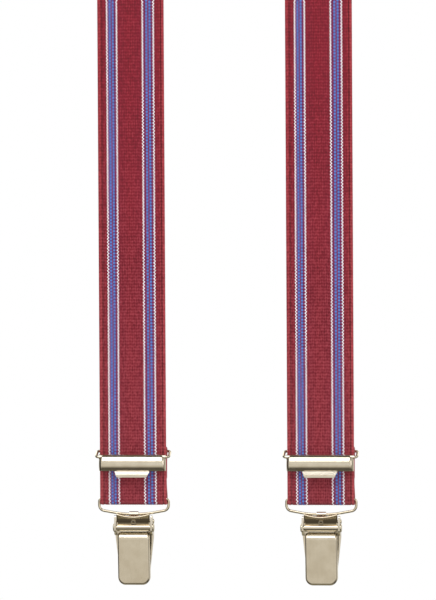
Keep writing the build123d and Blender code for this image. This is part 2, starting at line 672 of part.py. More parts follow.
with BuildPart() as cover:
    add(cover_block(0))
    add(cover_block(COVER_SHEET), mode=Mode.SUBTRACT)
    with BuildSketch(Plane.YZ.offset(-COVER_WIDTH / 2)):
        Circle(ROLL_OUTER)
    extrude(amount=COVER_WIDTH)
    add(tab.part)
    # The biting edge: a comb of teeth behind the roll, against the strap.
    with BuildSketch(Plane.XY.offset(-BITE_HEIGHT / 2)):
        with Locations((0, BITE_DEPTH)):
            Rectangle(COVER_WIDTH - 2, BITE_SHEET)
        with Locations((0, BITE_DEPTH + 0.35)):
            with GridLocations(2 * BITE_TOOTH, 0, COVER_TEETH, 1):
                Rectangle(BITE_TOOTH, 0.4)
    extrude(amount=BITE_HEIGHT)
    with BuildSketch(Plane.YZ.offset(-COVER_WIDTH)):
        Circle(ROLL_BORE)
    extrude(amount=2 * COVER_WIDTH, mode=Mode.SUBTRACT)
save_at(cover.part, ADJUSTER_SITES, "adjuster_cover")
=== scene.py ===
"""Clip-on X-back suspenders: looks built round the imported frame. Metres, +Z up, front faces -Y."""
from math import atan2, cos, pi, radians, sin, sqrt, tan

import bmesh
import bpy
from mathutils import Matrix, Vector


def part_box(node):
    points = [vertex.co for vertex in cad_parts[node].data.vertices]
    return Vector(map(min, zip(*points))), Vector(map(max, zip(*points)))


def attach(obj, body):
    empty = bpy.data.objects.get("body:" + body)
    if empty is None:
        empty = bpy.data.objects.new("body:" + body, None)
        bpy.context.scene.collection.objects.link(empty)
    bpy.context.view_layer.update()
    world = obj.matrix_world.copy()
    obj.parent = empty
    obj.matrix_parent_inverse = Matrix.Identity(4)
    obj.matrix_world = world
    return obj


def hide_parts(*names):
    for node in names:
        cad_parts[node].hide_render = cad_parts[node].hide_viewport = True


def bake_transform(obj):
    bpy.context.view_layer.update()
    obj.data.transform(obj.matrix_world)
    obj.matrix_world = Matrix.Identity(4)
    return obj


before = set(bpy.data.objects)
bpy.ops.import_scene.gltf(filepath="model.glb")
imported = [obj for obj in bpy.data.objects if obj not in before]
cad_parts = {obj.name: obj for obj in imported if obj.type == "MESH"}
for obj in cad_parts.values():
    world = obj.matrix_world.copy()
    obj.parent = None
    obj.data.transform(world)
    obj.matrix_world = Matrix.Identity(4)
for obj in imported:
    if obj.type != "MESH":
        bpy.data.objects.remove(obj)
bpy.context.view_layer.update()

MM = 0.001

# ---------------------------------------------------------------- sizes, as in the CAD model
WIDTH = 35.0 * MM  # of the webbing
THICKNESS = 1.5 * MM
WIRE = 0.7 * MM  # radius of the wire of the loops and the adjusters' frames
FOLD_RADIUS = 2.35 * MM  # middle of the webbing round a loop
PLY_STEP = 1.7 * MM  # middle of one ply to the middle of the next
FOLD_TAPER = 9.0 * MM  # height over which the two plies draw together above a fold
SEWN_TAB = 32.0 * MM  # the back fold's bar up to the cut end
SEWN_GAP = 0.1 * MM  # between that end and the ply it is sewn to
REAR_FOLD = 1.75 * MM  # middle of the webbing round the rear bar
SLANT = radians(18.0)  # of each strap from the vertical where they cross
BEND_RADIUS = 400.0 * MM  # in the plane of the webbing, where it straightens to hang
LIFT = 1.6 * MM  # how far one strap rides over the other
LIFT_RAMP = 25.0 * MM  # length over which it comes down again
LEATHER = 1.2 * MM
PATCH_HEIGHT = 66.0 * MM
PATCH_END_WIDTH = 44.0 * MM
PATCH_MID_WIDTH = 56.0 * MM
PATCH_CORNER = 7.0 * MM

loop_low, loop_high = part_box("front_right_clip_loop")
back_low, back_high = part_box("back_right_clip_loop")
patch_low, patch_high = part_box("patch_outer")
FRONT_X = (loop_low.x + loop_high.x) / 2
BACK_X = (back_low.x + back_high.x) / 2
FRONT_BAR_Z = loop_high.z - WIRE
BACK_BAR_Z = back_high.z - WIRE
REAR_BAR_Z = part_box("right_adjuster_frame")[1].z - WIRE
CLIP_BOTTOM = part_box("front_right_clip_front_jaw")[0].z
MID_RADIUS = (back_low.y + back_high.y) / 2 + FOLD_RADIUS  # middle of the webbing over the rail
INNER_DEPTH = MID_RADIUS - PLY_STEP  # middle of the second ply, from the rail's axis
PATCH_Z = (patch_low.z + patch_high.z) / 2
# Along the webbing, 0 is on top of the rail and the front is positive.
QUARTER = MID_RADIUS * pi / 2
CROSSING = PATCH_Z - QUARTER
HALF_OVERLAP = WIDTH / 2 / sin(SLANT)


# ---------------------------------------------------------------- short names for shader nodes
class Nodes:
    """The emptied node tree of a material or the world."""

    def __init__(self, owner):
        owner.use_nodes = True
        self.tree = owner.node_tree
        self.tree.nodes.clear()

    def node(self, kind, **settings):
        made = self.tree.nodes.new(kind)
        for key, value in settings.items():
            setattr(made, key, value)
        return made

    def put(self, value, socket):
        """Link an output to the socket, or give the socket a plain value."""
        if isinstance(value, bpy.types.NodeSocket):
            self.tree.links.new(value, socket)
        else:
            socket.default_value = value

    def put_all(self, values, sockets):
        for value, socket in zip(values, sockets):
            self.put(value, socket)

    def math(self, operation, a, b=0.0, c=0.0, clamp=False):
        made = self.node("ShaderNodeMath", operation=operation, use_clamp=clamp)
        self.put_all((a, b, c), made.inputs)
        return made.outputs[0]

    def centred(self, value):
        """A noise, which lies round 0.5, moved to lie round 0."""
        return self.math("SUBTRACT", value, 0.5)

    def mix(self, factor, a, b, blend="MIX"):
        made = self.node("ShaderNodeMix", data_type="RGBA", blend_type=blend)
        self.put_all((factor, a, b), (made.inputs[0], made.inputs[6], made.inputs[7]))
        return made.outputs[2]

    def ramp(self, factor, stops):
        """Colours along factor, from (position, colour) pairs."""
        made = self.node("ShaderNodeValToRGB")
        elements = made.color_ramp.elements
        while len(elements) > 1:
            elements.remove(elements[-1])
        elements[0].position, elements[0].color = stops[0]
        for position, colour in stops[1:]:
            elements.new(position).color = colour
        self.put(factor, made.inputs[0])
        return made.outputs[0]

    def remap(self, value, low, high, to_low, to_high, smooth=False):
        kind = "SMOOTHSTEP" if smooth else "LINEAR"
        made = self.node("ShaderNodeMapRange", interpolation_type=kind)
        self.put_all((value, low, high, to_low, to_high), made.inputs)
        return made.outputs[0]

    def noise(self, scale, detail, stretch=(1, 1, 1)):
        """Noise fixed to the object, with scale features to a metre."""
        mapping = self.node("ShaderNodeMapping")
        self.put(self.node("ShaderNodeTexCoord").outputs["Object"], mapping.inputs["Vector"])
        self.put(stretch, mapping.inputs["Scale"])
        made = self.node("ShaderNodeTexNoise")
        self.put(mapping.outputs[0], made.inputs["Vector"])
        self.put(scale, made.inputs["Scale"])
        self.put(detail, made.inputs["Detail"])
        return made.outputs[0]

    def bump(self, height, strength, distance):
        made = self.node("ShaderNodeBump")
        self.put(strength, made.inputs["Strength"])
        self.put(distance, made.inputs["Distance"])
        self.put(height, made.inputs["Height"])
        return made.outputs[0]


class Shade(Nodes):
    """A material with a Principled surface."""

    def __init__(self, name):
        self.material = bpy.data.materials.new(name)
        super().__init__(self.material)
        surface = self.node("ShaderNodeBsdfPrincipled")
        self.sockets = surface.inputs
        self.put(surface.outputs[0], self.node("ShaderNodeOutputMaterial").inputs[0])

    def dress(self, values):
        """Put the values in the surface's sockets, by name, and return the material."""
        for name, value in values.items():
            self.put(value, self.sockets[name])
        return self.material


def srgb(red, green, blue):
    """Linear colour from 0-255 screen values."""
    def linear(value):
        value /= 255.0
        return value / 12.92 if value <= 0.04045 else ((value + 0.055) / 1.055) ** 2.4
    return (linear(red), linear(green), linear(blue), 1.0)


# ---------------------------------------------------------------- the webbing's pattern
# Places, widths and depths across the webbing are shares of its width.
# White lines as (place, side of the blue band: +1 when it lies to the right).
WHITE_LINES = ((0.1450, 1), (0.2915, -1), (0.6800, 1), (0.8450, -1))
# Blue bead columns as (place, half a bead later or not).
BLUE_COLUMNS = ((0.1900, 0), (0.2354, 1), (0.7405, 0), (0.7890, 1))
GROOVES = (0.063, 0.954)  # inside the selvedges
RIB = 0.0345  # one rib of the red ground
BEAD = 1.66  # mm, one repeat of the weave along the strap
BEAD_HALF, BEAD_SWELL = 0.0150, 0.0040  # half width of a bead column, and how it comes and goes
LINE_HALF, LINE_SWAY = 0.0077, 0.0085  # half width of a white line, and how far it zigzags
DOT_ASIDE = 0.0135  # pale blue dots in the zigzag's hollows, this far from the line
DOT_HALF, DOT_SWELL = -0.0005, 0.0095
EDGE_BLUR = 0.0022  # half the soft edge between two colours
WAVER = 0.005  # unevenness of the threads' places

# The darkest stops, 0.058 to 0.070 and 0.948 to 0.962, lie on the grooves: painted shade in them.
GROUND = [
    (0.0, srgb(156, 52, 62)), (0.048, srgb(148, 44, 54)), (0.058, srgb(108, 26, 38)),
    (0.070, srgb(108, 26, 38)), (0.082, srgb(134, 30, 46)), (0.134, srgb(132, 30, 48)),
    (0.160, srgb(124, 33, 74)), (0.278, srgb(124, 33, 74)), (0.304, srgb(130, 30, 48)),
    (0.47, srgb(136, 30, 46)), (0.667, srgb(132, 30, 48)), (0.695, srgb(124, 33, 74)),
    (0.830, srgb(124, 33, 74)), (0.860, srgb(132, 30, 48)), (0.905, srgb(134, 30, 46)),
    (0.940, srgb(146, 42, 52)), (0.948, srgb(108, 26, 38)), (0.962, srgb(108, 26, 38)),
    (0.972, srgb(166, 56, 64)), (1.0, srgb(172, 64, 72)),
]
CORD_DARK, CORD_LIGHT = srgb(80, 80, 156), srgb(92, 130, 202)
DOT_BLUE, LINE_WHITE, FIBRE_AND_SHEEN_PINK = srgb(108, 146, 214), srgb(255, 250, 255), srgb(212, 152, 152)
RIB_GRAIN, PIT_GRAIN, ROW_GRAIN = 0.34, 0.26, 0.55  # shares of the red ground's relief
# Painted sheen makes the webbing paler between these two places along the strap.
SHEEN_FROM, SHEEN_TO = 0.92, 1.15  # metres along the strap, above and at the front fold


# ---------------------------------------------------------------- materials
def webbing_material():
    """Red ribbed elastic webbing with beaded blue columns and zigzag white lines."""
    s = Shade("webbing")
    split = s.node("ShaderNodeSeparateXYZ")
    s.put(s.node("ShaderNodeUVMap", uv_map="strap").outputs[0], split.inputs[0])
    across, along = split.outputs[0], split.outputs[1]
    turn = s.math("MULTIPLY", along, 1000.0 * 2 * pi / BEAD)
    wave = s.math("SINE", turn)
    fibre = s.noise(1500.0, 2.0, (1.0, 1.0, 0.35))
    fluff = s.noise(620.0, 3.0)
    broad = s.noise(24.0, 2.0)
    place = s.math("ADD", across, s.math("MULTIPLY", s.centred(fluff), WAVER))

    def near(centre, half):
        """1 within half of centre, with a soft edge."""
        distance = s.math("ABSOLUTE", s.math("SUBTRACT", place, centre))
        within = s.math("SUBTRACT", half, distance)
        return s.remap(within, -EDGE_BLUR, EDGE_BLUR, 0.0, 1.0, smooth=True)

    def gather(masks):
        total = masks[0]
        for mask in masks[1:]:
            total = s.math("MAXIMUM", total, mask)
        return total

    beads, glow = [], []
    for centre, late in BLUE_COLUMNS:
        swell = s.math("MULTIPLY", wave, -1.0 if late else 1.0)
        beads.append(near(centre, s.math("MULTIPLY_ADD", swell, BEAD_SWELL, BEAD_HALF)))
        crown = s.remap(swell, -0.7, 0.6, 0.0, 1.0, smooth=True)
        glow.append(s.math("MULTIPLY", beads[-1], crown))
    teeth, dots = [], []
    for centre, hand in WHITE_LINES:
        teeth.append(near(s.math("MULTIPLY_ADD", wave, -LINE_SWAY * hand, centre), LINE_HALF))
        dot_half = s.math("MULTIPLY_ADD", wave, -DOT_SWELL, DOT_HALF)
        dots.append(near(centre + DOT_ASIDE * hand, dot_half))
    blue, bright, white, dot = gather(beads), gather(glow), gather(teeth), gather(dots)

    # The red ground's relief: ribs crossed by rows of pits, half a row later on every other rib.
    rib = s.math("COSINE", s.math("MULTIPLY", place, 2 * pi / RIB))
    pit = s.math("MULTIPLY", s.math("SINE", s.math("MULTIPLY", place, pi / RIB)), wave)
    grain = s.math("MULTIPLY_ADD", rib, RIB_GRAIN, s.math("MULTIPLY", pit, PIT_GRAIN))
    grain = s.math("MULTIPLY_ADD", s.math("COSINE", turn), ROW_GRAIN, grain)
    grain = s.math("ADD", s.centred(fluff), grain)

    def grey(value):
        made = s.node("ShaderNodeCombineColor")
        s.put_all((value, value, value), made.inputs)
        return made.outputs[0]

    fibres = s.centred(fibre)
    # Painted shade: the relief's hollows, between the ribs and in the pits, are darker; fibre and
    # broad noise add random tone.
    shade = s.math("MULTIPLY_ADD", grain, 0.21, 0.95)
    shade = s.math("ADD", shade, s.math("MULTIPLY", fibres, 1.1))
    shade = s.math("ADD", shade, s.math("MULTIPLY", s.centred(broad), 0.2))
    colour = s.mix(1.0, s.ramp(across, GROUND), grey(shade), "MULTIPLY")
    # Painted sheen: raised fibres and the relief's tops are painted paler, and the webbing is
    # painted paler still towards the front fold.
    pale = s.remap(along, SHEEN_FROM, SHEEN_TO, -0.010, 0.068)
    pale = s.math("MULTIPLY_ADD", grain, 0.045, pale)
    pale = s.math("MULTIPLY_ADD", fibres, 0.22, pale, clamp=True)
    colour = s.mix(pale, colour, FIBRE_AND_SHEEN_PINK)
    thread = grey(s.math("MULTIPLY_ADD", fibres, 0.55, 1.0))
    cord = s.mix(bright, CORD_DARK, CORD_LIGHT)
    colour = s.mix(blue, colour, s.mix(1.0, cord, thread, "MULTIPLY"))
    colour = s.mix(dot, colour, DOT_BLUE)
    colour = s.mix(white, colour, s.mix(1.0, LINE_WHITE, thread, "MULTIPLY"))

    raised = s.math("MULTIPLY", gather([bright, white]), 0.9)
    height = s.math("ADD", s.math("MULTIPLY", grain, 0.5), raised)
    height = s.math("ADD", height, s.math("MULTIPLY", fibre, 0.35))
    return s.dress({
        "Base Color": colour, "Roughness": s.remap(fibre, 0.3, 0.7, 0.66, 0.9),
        "Specular IOR Level": 0.22, "Sheen Weight": 0.12, "Sheen Roughness": 0.5,
        "Normal": s.bump(height, 0.6, 0.18 * MM),
    })


def nickel_material(name, tint, roughness):
    """Nickel plate: satin, faintly scratched, with a painted highlight on its sharp edges."""
    s = Shade(name)
    cloud = s.noise(160.0, 3.0)
    scratch = s.noise(900.0, 4.0, (1.0, 1.0, 0.06))
    speck = s.noise(3200.0, 2.0)
    darker = (tint[0] * 0.9, tint[1] * 0.885, tint[2] * 0.86, 1.0)
    colour = s.mix(s.remap(cloud, 0.35, 0.65, 0.0, 1.0), darker, tint)
    # Painted highlight: the colour turns paler on sharp convex edges.
    edge = s.node("ShaderNodeNewGeometry").outputs["Pointiness"]
    edge = s.math("MULTIPLY", s.remap(edge, 0.5, 0.58, 0.0, 1.0), 0.45)
    rough = s.remap(scratch, 0.3, 0.7, roughness * 0.82, roughness * 1.25)
    height = s.math("ADD", s.math("MULTIPLY", scratch, 0.4), s.math("MULTIPLY", speck, 0.6))
    return s.dress({
        "Base Color": s.mix(edge, colour, (0.93, 0.90, 0.83, 1.0)), "Metallic": 1.0,
        "Roughness": s.math("ADD", rough, s.math("MULTIPLY", s.centred(speck), 0.12)),
        "Normal": s.bump(height, 0.10, 0.04 * MM),
    })


def leather_material():
    """Dark brown leather with pebbled grain, fine creases and rubbed places."""
    s = Shade("leather")
    pebble = s.node("ShaderNodeTexVoronoi", feature="DISTANCE_TO_EDGE")
    s.put(950.0, pebble.inputs["Scale"])
    s.put(s.node("ShaderNodeTexCoord").outputs["Object"], pebble.inputs["Vector"])
    grain = s.remap(pebble.outputs[0], 0.0, 0.12, 0.0, 1.0, smooth=True)
    hollow = s.math("MULTIPLY", s.math("SUBTRACT", 1.0, grain), 0.55)
    crease = s.noise(70.0, 6.0)
    rubbed = s.remap(s.noise(38.0, 3.0), 0.5, 0.75, 0.0, 0.4)
    colour = s.mix(s.remap(crease, 0.3, 0.7, 0.0, 1.0), srgb(44, 22, 17), srgb(72, 37, 27))
    colour = s.mix(hollow, colour, srgb(24, 12, 10))
    height = s.math("ADD", grain, s.math("MULTIPLY", crease, 1.4))
    return s.dress({
        "Base Color": s.mix(rubbed, colour, srgb(104, 62, 44)),
        "Roughness": s.remap(crease, 0.3, 0.7, 0.38, 0.55), "Specular IOR Level": 0.45,
        "Normal": s.bump(height, 0.4, 0.12 * MM),
    })


def thread_material(name, light, dark):
    """Twisted sewing thread, with painted shade in the grooves between its strands."""
    s = Shade(name)
    twist = s.node("ShaderNodeTexWave", wave_type="BANDS", bands_direction="DIAGONAL")
    s.put(900.0, twist.inputs["Scale"])
    s.put(0.6, twist.inputs["Distortion"])
    s.put(s.node("ShaderNodeTexCoord").outputs["Object"], twist.inputs["Vector"])
    strand = twist.outputs[1]
    return s.dress({
        "Base Color": s.mix(strand, dark, light),
        "Roughness": s.remap(strand, 0.0, 1.0, 0.55, 0.8),
        "Normal": s.bump(strand, 0.5, 0.1 * MM),
    })


def grip_material():
    """Mottled black vinyl."""
    s = Shade("grip")
    mottle = s.noise(1200.0, 3.0)
    return s.dress({
        "Base Color": s.mix(mottle, srgb(22, 22, 23), srgb(44, 43, 42)),
        "Roughness": s.remap(mottle, 0.3, 0.7, 0.45, 0.7),
        "Normal": s.bump(mottle, 0.3, 0.08 * MM),
    })


def floor_material():
    """Pale, slightly uneven studio floor."""
    s = Shade("floor")
    cloud = s.noise(3.0, 4.0)
    pale = s.mix(cloud, (0.80, 0.80, 0.79, 1.0), (0.86, 0.86, 0.85, 1.0))
    return s.dress({"Base Color": pale, "Roughness": 0.85})


WEBBING = webbing_material()
NICKEL = nickel_material("nickel", (0.85, 0.78, 0.64, 1.0), 0.15)
BRIGHT_NICKEL = nickel_material("nickel_bright", (0.86, 0.79, 0.62, 1.0), 0.09)
# A darker copy of the nickel for the lever: painted shade, so its dish looks dark.
SHADED_NICKEL = nickel_material("nickel_painted_shade", (0.64, 0.55, 0.40, 1.0), 0.09)
SPRING_STEEL = nickel_material("spring_steel", (0.5, 0.5, 0.5, 1.0), 0.35)
LEATHER_BROWN = leather_material()
RED_THREAD = thread_material("thread_red", srgb(150, 48, 58), srgb(96, 26, 36))
TAN_THREAD = thread_material("thread_tan", srgb(186, 150, 104), srgb(120, 88, 54))
GRIP = grip_material()


# ---------------------------------------------------------------- meshes
def make_piece(name, vertices, faces, material, uvs=None, smooth=True):
    """A mesh object; uvs holds one (across, along) pair for each vertex."""
    mesh = bpy.data.meshes.new(name)
    mesh.from_pydata([tuple(v) for v in vertices], [], faces)
    mesh.validate()
    shell = bmesh.new()
    shell.from_mesh(mesh)
    bmesh.ops.recalc_face_normals(shell, faces=shell.faces)
    shell.to_mesh(mesh)
    shell.free()
    if uvs is not None:
        layer = mesh.uv_layers.new(name="strap")
        for loop in mesh.loops:
            layer.data[loop.index].uv = uvs[loop.vertex_index]
    mesh.polygons.foreach_set("use_smooth", [smooth] * len(mesh.polygons))
    mesh.materials.append(material)
    made = bpy.data.objects.new(name, mesh)
    bpy.context.scene.collection.objects.link(made)
    return made


def band(a, b, count, flip=False):
    """Quads between two rings of count vertices that start at a and b."""
    for j in range(count):
        k = (j + 1) % count
        quad = (a + j, a + k, b + k, b + j)
        yield quad[::-1] if flip else quad


# ---------------------------------------------------------------- the webbing's section
SECTION_STEPS = 116  # across the webbing
EDGE_STEPS = (0.0, 0.004, 0.008)  # more of them at its edges
FACE_SUNK = 0.06 * MM  # the plain face lies this far inside the full thickness
RIB_HEIGHT = 0.05 * MM
GROOVE_DEPTH, GROOVE_HALF = 0.22 * MM, 0.016
CORD_HEIGHT, CORD_HALF = 0.06 * MM, 0.018
EDGE_BLUNT = 0.35  # half the thickness left at the very edge, as a share of the face's


def face_height(u):
    """Half the thickness at a place across: ribs, cords, grooves and the rounded edges."""
    height = THICKNESS / 2 - FACE_SUNK
    height += RIB_HEIGHT * cos(2 * pi * u / RIB)
    for groove in GROOVES:
        height -= GROOVE_DEPTH * max(0.0, 1 - abs(u - groove) / GROOVE_HALF)
    for column, _ in WHITE_LINES + BLUE_COLUMNS:
        height += CORD_HEIGHT * max(0.0, 1 - abs(u - column) / CORD_HALF)
    edge = min(u, 1 - u) * WIDTH / (THICKNESS / 2)
    if edge < 1:
        height *= EDGE_BLUNT + (1 - EDGE_BLUNT) * sqrt(max(0.0, 1 - (1 - edge) ** 2))
    return height


def section():
    """Points round the webbing's section, one face and then the other: (across, offset)."""
    steps = [*EDGE_STEPS, *(i / SECTION_STEPS for i in range(1, SECTION_STEPS))]
    steps += [1 - step for step in reversed(EDGE_STEPS)]
    return [(u, face_height(u)) for u in steps] + [(u, -face_height(u)) for u in reversed(steps)]


SECTION = section()


def tube(name, rows, lengths):
    """A closed band of webbing through rows of section points, at these lengths along it."""
    count = len(SECTION)
    vertices = [point for row in rows for point in row]
    uvs = [(u, length) for length in lengths for u, _ in SECTION]
    faces = []
    for i in range(len(rows) - 1):
        faces += band(i * count, (i + 1) * count, count)
    for base, flip in ((0, False), ((len(rows) - 1) * count, True)):
        for j in range(count // 2 - 1):
            quad = (base + j, base + count - 1 - j, base + count - 2 - j, base + j + 1)
            faces.append(quad[::-1] if flip else quad)
    return make_piece(name, vertices, faces, WEBBING, uvs)


# ---------------------------------------------------------------- side profiles
# A profile's points are (depth from the rail's axis, height), for webbing that hangs upright.
FOLD_STEPS = 14  # round half a turn
TAB_TAPER_STEPS, RETURN_TAPER_STEPS = 5, 6
TAB_ROW_STEP, RETURN_ROW_STEP = 2.5 * MM, 1.5 * MM  # between rows of the upright runs


def smooth_step(value):
    value = min(max(value, 0.0), 1.0)
    return value * value * (3 - 2 * value)


def profile_rows(centre_x, face, points):
    """Section rows square to a side profile, and the length along it at each row."""
    rows, lengths, total = [], [], 0.0
    for i, (depth, height) in enumerate(points):
        before, after = points[max(i - 1, 0)], points[min(i + 1, len(points) - 1)]
        run, rise = after[0] - before[0], after[1] - before[1]
        size = sqrt(run * run + rise * rise)
        normal = (-rise / size, run / size)
        if i:
            total += sqrt((depth - points[i - 1][0]) ** 2 + (height - points[i - 1][1]) ** 2)
        lengths.append(total)
        row = []
        for u, off in SECTION:
            y, z = face * (depth + off * normal[0]), height + off * normal[1]
            row.append((centre_x + (u - 0.5) * WIDTH, y, z))
        rows.append(row)
    return rows, lengths


def fold_points(bar_z):
    """The fold under a loop's bar, from the outer ply to the inner one."""
    turns = [pi * i / FOLD_STEPS for i in range(FOLD_STEPS + 1)]
    return [
        (MID_RADIUS - FOLD_RADIUS * (1 - cos(turn)), bar_z - FOLD_RADIUS * sin(turn))
        for turn in turns
    ]


def eased(start, end, steps):
    """Points from start to end, leaving and arriving upright; start itself is left out."""
    points = []
    for i in range(1, steps + 1):
        share = i / steps
        depth = start[0] + (end[0] - start[0]) * smooth_step(share)
        points.append((depth, start[1] + (end[1] - start[1]) * share))
    return points


def upright(depth, low, high, step):
    """Points straight up from low, which is left out, to high."""
    count = max(2, round((high - low) / step))
    return [(depth, low + (high - low) * i / count) for i in range(1, count + 1)]


# ---------------------------------------------------------------- the straps' course
def bend_start(spacing):
    """How far below the crossing a strap starts to straighten, to hang at spacing."""
    return (spacing - BEND_RADIUS * (1 - cos(SLANT))) / tan(SLANT)


def side_course(travel, spacing):
    """Sideways offset, distance down the strap and slant, this far along it from the crossing."""
    start = bend_start(spacing)
    straight = start / cos(SLANT)
    if travel <= straight:
        return travel * sin(SLANT), travel * cos(SLANT), SLANT
    slant = SLANT - (travel - straight) / BEND_RADIUS
    if slant > 0:
        aside = spacing - BEND_RADIUS * (1 - cos(slant))
        return aside, start + BEND_RADIUS * (sin(SLANT) - sin(slant)), slant
    return spacing, start + BEND_RADIUS * (sin(SLANT) - slant), 0.0


def travel_to(down, spacing):
    """Travel from the crossing at which the strap has gone this far down."""
    start = bend_start(spacing)
    return start / cos(SLANT) + BEND_RADIUS * SLANT + down - start - BEND_RADIUS * sin(SLANT)


def lift_at(along):
    """How far the upper strap stands off at this place along it."""
    beyond = (abs(along - CROSSING) - HALF_OVERLAP) / LIFT_RAMP
    return LIFT * (1 - smooth_step(beyond))


def wrap(x, along, off):
    """A point of the unrolled strap plane, laid over the rail and standing off by off."""
    radius = MID_RADIUS + off
    if along > QUARTER:
        return (x, -radius, QUARTER - along)
    if along < -QUARTER:
        return (x, radius, QUARTER + along)
    turn = along / MID_RADIUS
    return (x, -radius * sin(turn), radius * cos(turn))


# Woven elastic is never dead flat: it has a slow ripple and cups a little from side to side.
# There is none where the adjuster slides, near the back fold or at the crossing.
RIPPLE_HEIGHT, RIPPLE_TURNS = (0.22, 0.15), (41, 67)  # mm, and radians to a metre
CUP_HEIGHT, CUP_TURNS = 0.25, 23
SLIDE_REACH = 200.0 * MM  # how much more is calm above the front fold than above the back one
CALM_END, CALM_END_RAMP = 0.10, 0.10  # metres
CALM_CROSSING, CALM_CROSSING_RAMP = 0.09, 0.08
TRAVEL_STEP = 3.6 * MM  # between rows of the long run


def course_row(travel, side, over):
    """One row of the strap between its two folds."""
    if travel >= 0:
        offset, down, slant = side_course(travel, FRONT_X)
        along = CROSSING + down
    else:
        offset, down, slant = side_course(-travel, BACK_X)
        offset, along = -offset, CROSSING - down
    ends = min(QUARTER - FRONT_BAR_Z - along - SLIDE_REACH, along + QUARTER - BACK_BAR_Z)
    middle = abs(along - CROSSING)
    swing = smooth_step((ends - CALM_END) / CALM_END_RAMP)
    swing *= smooth_step((middle - CALM_CROSSING) / CALM_CROSSING_RAMP)
    ripple = swing * MM * (
        RIPPLE_HEIGHT[0] * sin(travel * RIPPLE_TURNS[0] + side)
        + RIPPLE_HEIGHT[1] * sin(travel * RIPPLE_TURNS[1] + 2 * side)
    )
    row = []
    for u, off in SECTION:
        reach = (u - 0.5) * WIDTH
        x = side * offset + reach * cos(slant)
        s_here = along - side * reach * sin(slant)
        cup = swing * CUP_HEIGHT * MM * (2 * u - 1) ** 2 * sin(travel * CUP_TURNS)
        lift = lift_at(s_here) if over else 0.0
        row.append(wrap(x, s_here, lift + off + ripple + cup))
    return row


def strap(name, side, over):
    """One strap: sewn back tab, back fold, crossing, rail, front run and front fold."""
    taper_top = (INNER_DEPTH, BACK_BAR_Z + FOLD_TAPER)
    tab = fold_points(BACK_BAR_Z)
    tab += eased((MID_RADIUS - 2 * FOLD_RADIUS, BACK_BAR_Z), taper_top, TAB_TAPER_STEPS)
    tab += upright(*taper_top, BACK_BAR_Z + SEWN_TAB, TAB_ROW_STEP)
    rows, lengths = profile_rows(-side * BACK_X, 1, tab[::-1])
    first = -travel_to(-BACK_BAR_Z + QUARTER + CROSSING, BACK_X)
    last = travel_to(-FRONT_BAR_Z + QUARTER - CROSSING, FRONT_X)
    start = lengths[-1]
    count = round((last - first) / TRAVEL_STEP)
    for i in range(1, count):
        travel = first + (last - first) * i / count
        rows.append(course_row(travel, side, over))
        lengths.append(start + travel - first)
    front_rows, front_lengths = profile_rows(side * FRONT_X, -1, fold_points(FRONT_BAR_Z))
    start += last - first
    rows += front_rows
    lengths += [start + length for length in front_lengths]
    return tube(name, rows, lengths), lengths[-1]


END_TAPER = 6 * MM  # height over which the sewn end closes up below the rear bar
END_ROWS, END_STEP = 5, 1.6  # rows of the sewn end below that, mm apart


def return_ply(name, side, start_length):
    """The free end: up behind the strap, over the adjuster's rear bar and down to its sewn end."""
    low = (MID_RADIUS - 2 * FOLD_RADIUS, FRONT_BAR_Z)
    taper_top = (INNER_DEPTH, FRONT_BAR_Z + FOLD_TAPER)
    points = [low] + eased(low, taper_top, RETURN_TAPER_STEPS)
    points += upright(*taper_top, REAR_BAR_Z, RETURN_ROW_STEP)
    bar_depth = INNER_DEPTH - REAR_FOLD
    for i in range(1, FOLD_STEPS + 1):
        turn = pi * i / FOLD_STEPS
        points.append((bar_depth + REAR_FOLD * cos(turn), REAR_BAR_Z + REAR_FOLD * sin(turn)))
    end = (INNER_DEPTH - THICKNESS - SEWN_GAP, REAR_BAR_Z - END_TAPER)
    points += eased((bar_depth - REAR_FOLD, REAR_BAR_Z), end, RETURN_TAPER_STEPS)
    points += [(end[0], end[1] - i * END_STEP * MM) for i in range(1, END_ROWS + 1)]
    rows, lengths = profile_rows(side * FRONT_X, -1, points)
    made = tube(name, rows, [start_length + length for length in lengths])
    return made, lengths[-1]


# ---------------------------------------------------------------- stitches
STITCH_RINGS, STITCH_SIDES = 5, 6
STITCH_SPAN = (0.12, 0.88)  # where in its share of the run a stitch begins and ends
STITCH_DIP = 0.9  # how far its ends sink in, as a share of its radius
STITCH_FLATNESS = 0.8
STITCH_TIP = 0.25  # its radius at the ends, as a share of that in the middle


def along_run(run, travelled, distance):
    """The place this far along a run, and the direction the surface faces there."""
    i = 0
    while i < len(run) - 2 and travelled[i + 1] < distance:
        i += 1
    share = (distance - travelled[i]) / max(travelled[i + 1] - travelled[i], 1e-9)
    here = Vector(run[i][0]).lerp(Vector(run[i + 1][0]), min(max(share, 0), 1))
    return here, Vector(run[i][1])


